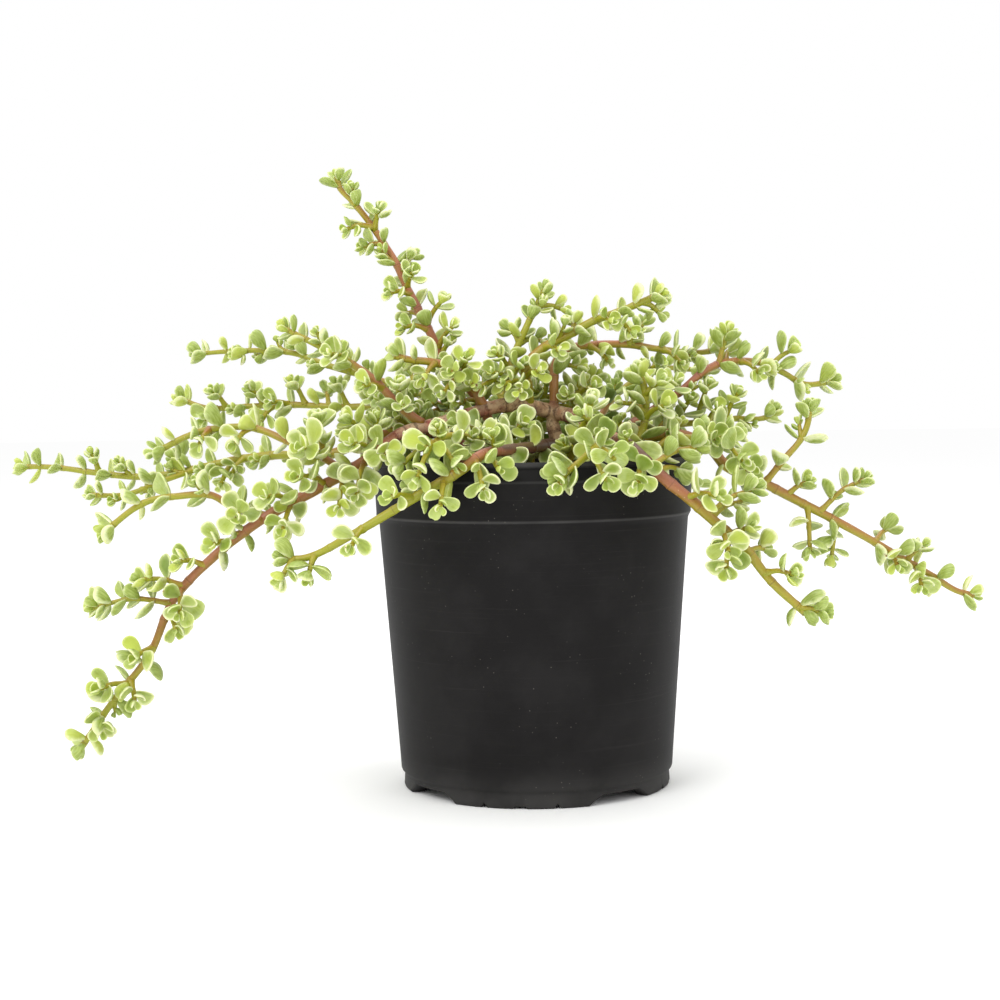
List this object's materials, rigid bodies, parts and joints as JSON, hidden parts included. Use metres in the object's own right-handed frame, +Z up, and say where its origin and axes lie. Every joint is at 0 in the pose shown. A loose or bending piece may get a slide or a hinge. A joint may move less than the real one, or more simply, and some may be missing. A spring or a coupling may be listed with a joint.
{
  "type": "potted variegated elephant bush",
  "caption": "Spreading leafy succulent with variegated cream-edged leaves on arching stems, in a round black nursery pot with a rim band and a notched foot ring.",
  "frame": {"origin": "centre of the pot's underside, on the surface that it stands on", "axes": "+Z up along the pot's axis; +X to the right and +Y away, as seen from the front; the stems spread furthest along X"},
  "size_m": [0.5076, 0.2585, 0.3195],
  "materials": {
    "black_plastic": "matt charcoal black moulded plastic with fine scuffs and dust",
    "potting_soil": "loose dark potting mix with bark bits",
    "bark": "smooth purplish brown bark with node rings",
    "green_stalk": "smooth fleshy stalk, olive at the tips to reddish brown",
    "variegated_leaf": "waxy succulent leaf, green centre and cream margin"
  },
  "bodies": {
    "root": {"pot": "black_plastic", "soil": "potting_soil", "trunk": "bark", "stem_long_left": "variegated_leaf", "stem_front_left": "variegated_leaf", "stem_left_rise": "variegated_leaf", "stem_left_inner": "variegated_leaf", "stem_mid_rise": "variegated_leaf", "stem_mid_right": "variegated_leaf", "stem_front_short": "variegated_leaf", "stem_front_right": "variegated_leaf", "stem_right_high": "variegated_leaf", "stem_far_left": "variegated_leaf", "stem_left_middle": "variegated_leaf", "stem_left_high": "variegated_leaf", "stem_tall": "variegated_leaf", "stem_right_arch": "variegated_leaf", "stem_long_right": "variegated_leaf", "stem_right_inner": "variegated_leaf", "stem_right_low": "variegated_leaf", "stem_right_middle": "variegated_leaf", "stem_front_rosette": "variegated_leaf", "stem_front_middle": "variegated_leaf", "stem_front_inner": "variegated_leaf", "stem_centre": "variegated_leaf", "stem_centre_right": "variegated_leaf", "stem_back_left": "variegated_leaf", "stem_back_middle": "variegated_leaf", "stem_back_right": "variegated_leaf", "stem_back_rise": "variegated_leaf", "stem_back_inner": "variegated_leaf"}
  },
  "joints": []
}
